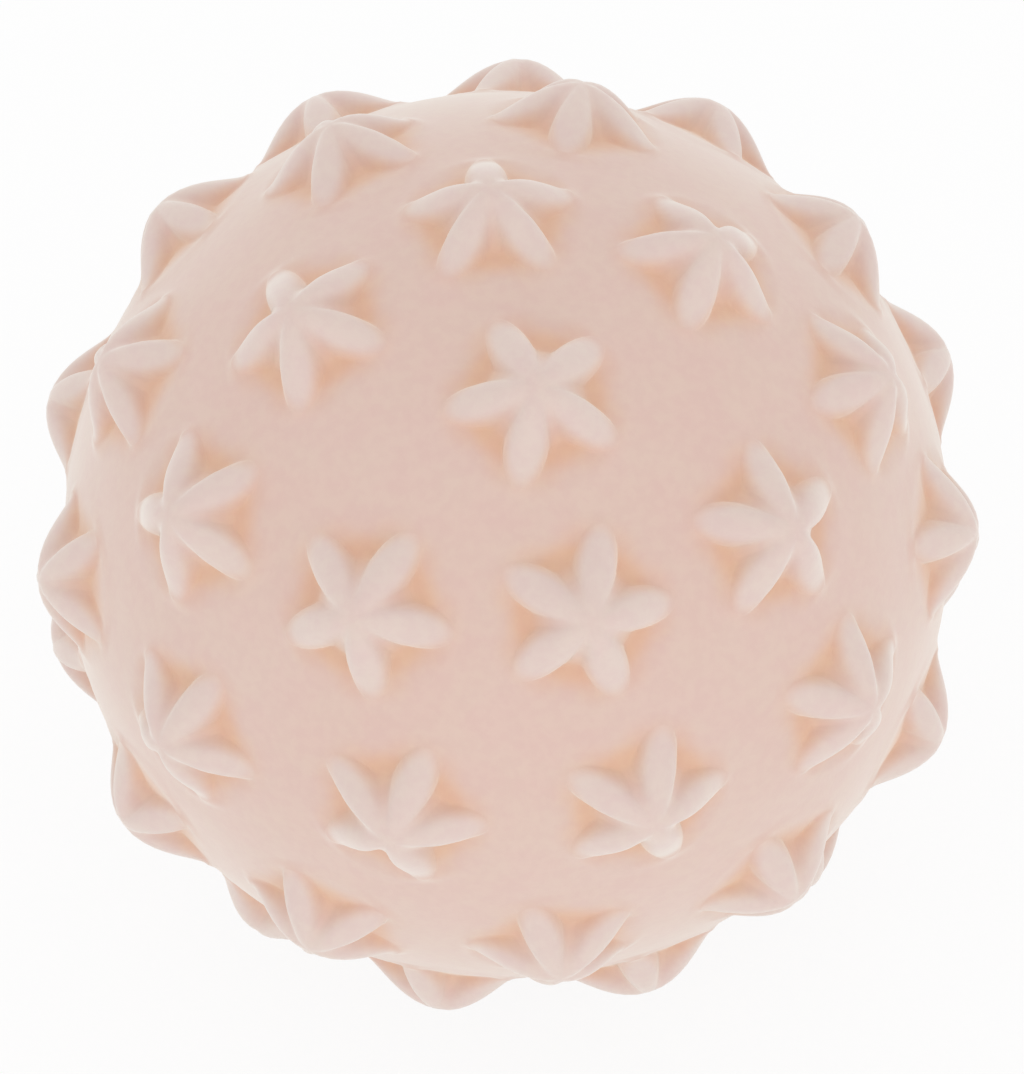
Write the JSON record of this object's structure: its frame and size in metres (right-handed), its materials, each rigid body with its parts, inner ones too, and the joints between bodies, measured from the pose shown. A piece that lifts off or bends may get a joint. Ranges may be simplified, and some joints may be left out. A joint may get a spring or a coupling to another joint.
{
  "type": "sensory ball",
  "caption": "Hollow soft moulded ball for a baby, its skin covered with raised five-armed stars; closed halves bonded round the middle.",
  "frame": {"origin": "centre of the ball", "axes": "+Z from the centre through the star at the top pole, square to the bonded joint; the picture is taken from the -Y side, about 49 degrees above the joint"},
  "size_m": [0.0878, 0.0878, 0.0902],
  "materials": {
    "shell_rubber": "matte, slightly translucent, pale blush pink",
    "plug_rubber": "matte raw gum rubber"
  },
  "bodies": {
    "root": {"upper_shell": "shell_rubber", "lower_shell": "shell_rubber", "sealing_plug": "plug_rubber"}
  },
  "joints": []
}
